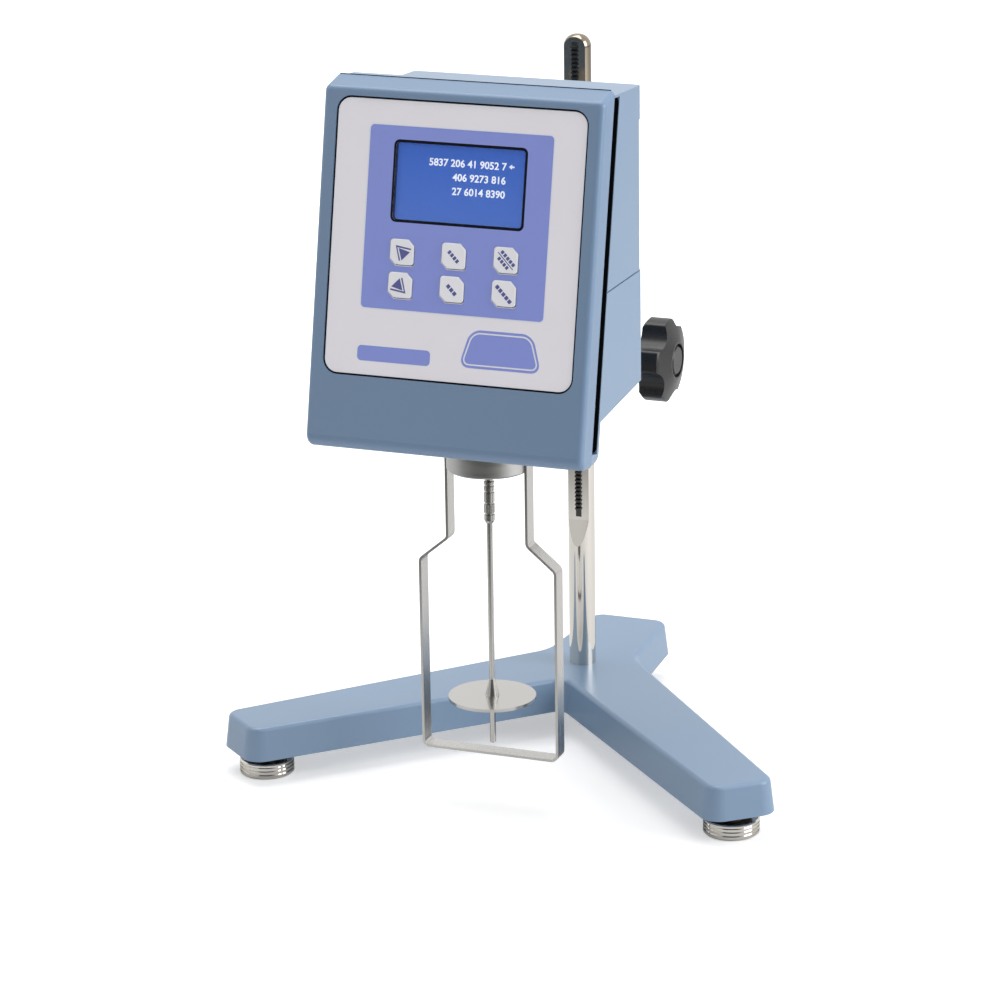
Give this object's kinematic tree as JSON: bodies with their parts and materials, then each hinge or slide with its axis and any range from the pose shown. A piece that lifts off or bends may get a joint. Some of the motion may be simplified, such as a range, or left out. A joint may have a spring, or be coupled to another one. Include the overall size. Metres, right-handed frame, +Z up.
{
  "type": "rotational viscometer",
  "caption": "Bench rotational viscometer: tilted display head on a rack-and-pinion column with a Y base, levelling feet, disc spindle and U-shaped guard leg",
  "frame": {"origin": "bottom centre of the whole object's box, on the table the feet stand on", "axes": "+Z up along the column, +Y from the display to the column, +X to the height knob's side"},
  "size_m": [0.3152, 0.2888, 0.3955],
  "materials": {
    "base_paint": "light blue-grey enamel",
    "bezel_paint": "blue-grey moulded front",
    "shell_paint": "light blue-grey moulded covers",
    "chrome": "polished chrome",
    "steel": "stainless steel",
    "satin": "satin turned metal",
    "aluminium": "anodised aluminium",
    "brass": "plain bearing brass",
    "black": "black plastic",
    "knob_black": "black phenolic",
    "label": "printed silver-grey membrane",
    "glass": "blue display window",
    "lcd": "blue display module",
    "key": "light grey keys",
    "board": "green circuit board",
    "gasket": "black gasket",
    "jewel": "synthetic jewel"
  },
  "bodies": {
    "stand": {"base_casting": "base_paint", "post": "chrome", "rack_strip": "steel", "post_screw": "steel", "foot_locknuts": "black"},
    "head": {"carriage_block": "base_paint", "carriage_bushes": "brass", "shaft_bushes": "brass", "head_arm": "base_paint", "arm_screws": "steel", "front_bezel": "bezel_paint", "keypad_overlay": "label", "lcd_glass": "glass", "lcd_module": "lcd", "keypad_board": "board", "groove_frame": "gasket", "rear_housing": "shell_paint", "lower_housing": "shell_paint", "back_panel": "aluminium", "panel_screws": "steel", "power_inlet": "black", "switch_frame": "black", "serial_port": "steel", "probe_socket": "steel", "chassis_plate": "aluminium", "main_board": "board", "motor_bracket": "aluminium", "stepper_motor": "black", "encoder_sensor": "black", "spindle_collar": "satin", "jewel_bearing": "jewel", "guard_leg": "steel", "guard_screws": "steel"},
    "knob": {"pinion": "steel", "pinion_shaft": "steel", "height_knob": "knob_black", "knob_cap": "knob_black"},
    "drive": {"drive_shaft": "steel"},
    "measure": {"pivot_shaft": "steel", "spindle_coupling": "steel", "disc_spindle": "steel", "torsion_spring": "brass"},
    "rocker": {"power_rocker": "black"},
    "foot_l": {"foot_left": "chrome"},
    "foot_r": {"foot_right": "chrome"},
    "foot_b": {"foot_rear": "chrome"},
    "key_up_body": {"key_up": "key"},
    "key_quit_body": {"key_quit": "key"},
    "key_start_body": {"key_start": "key"},
    "key_down_body": {"key_down": "key"},
    "key_tab_body": {"key_tab": "key"},
    "key_enter_body": {"key_enter": "key"}
  },
  "joints": [
    {"name": "head_lift", "type": "slide", "parent": "stand", "child": "head", "axis": [0, 0, 1], "range_m": [-0.02, 0.12]},
    {"name": "height_knob_turn", "type": "hinge", "parent": "head", "child": "knob", "pos_m": [0, 0.04732, 0.2179], "axis": [1, 0, 0], "range_deg": [-1030, 175]},
    {"name": "drive_spin", "type": "hinge", "parent": "head", "child": "drive", "pos_m": [0, -0.07998, 0.268], "axis": [0, 0, 1], "continuous": true},
    {"name": "spring_twist", "type": "hinge", "parent": "drive", "child": "measure", "pos_m": [0, -0.07998, 0.256], "axis": [0, 0, 1], "range_deg": [-85, 85], "stiffness_Nm_per_rad": 0.0005},
    {"name": "rocker_tip", "type": "hinge", "parent": "head", "child": "rocker", "pos_m": [0.026, -0.06218, 0.328], "axis": [1, 0, 0], "range_deg": [0, 9]},
    {"name": "foot_l_turn", "type": "hinge", "parent": "stand", "child": "foot_l", "pos_m": [-0.1344, -0.07958, 0.02], "axis": [0, 0, 1], "range_deg": [-360, 360]},
    {"name": "foot_r_turn", "type": "hinge", "parent": "stand", "child": "foot_r", "pos_m": [0.1344, -0.07958, 0.02], "axis": [0, 0, 1], "range_deg": [-360, 360]},
    {"name": "foot_b_turn", "type": "hinge", "parent": "stand", "child": "foot_b", "pos_m": [0, 0.12162, 0.02], "axis": [0, 0, 1], "range_deg": [-360, 360]},
    {"name": "key_up_press", "type": "slide", "parent": "head", "child": "key_up_body", "axis": [0, 0.9784, -0.2065], "range_m": [0, 0.0005], "stiffness_N_per_m": 500, "springref_m": -0.0006},
    {"name": "key_quit_press", "type": "slide", "parent": "head", "child": "key_quit_body", "axis": [0, 0.9784, -0.2065], "range_m": [0, 0.0005], "stiffness_N_per_m": 500, "springref_m": -0.0006},
    {"name": "key_start_press", "type": "slide", "parent": "head", "child": "key_start_body", "axis": [0, 0.9784, -0.2065], "range_m": [0, 0.0005], "stiffness_N_per_m": 500, "springref_m": -0.0006},
    {"name": "key_down_press", "type": "slide", "parent": "head", "child": "key_down_body", "axis": [0, 0.9784, -0.2065], "range_m": [0, 0.0005], "stiffness_N_per_m": 500, "springref_m": -0.0006},
    {"name": "key_tab_press", "type": "slide", "parent": "head", "child": "key_tab_body", "axis": [0, 0.9784, -0.2065], "range_m": [0, 0.0005], "stiffness_N_per_m": 500, "springref_m": -0.0006},
    {"name": "key_enter_press", "type": "slide", "parent": "head", "child": "key_enter_body", "axis": [0, 0.9784, -0.2065], "range_m": [0, 0.0005], "stiffness_N_per_m": 500, "springref_m": -0.0006}
  ],
  "couplings": [
    {"joint": "height_knob_turn", "follows": "head_lift", "rad_per_m": -148.15}
  ]
}
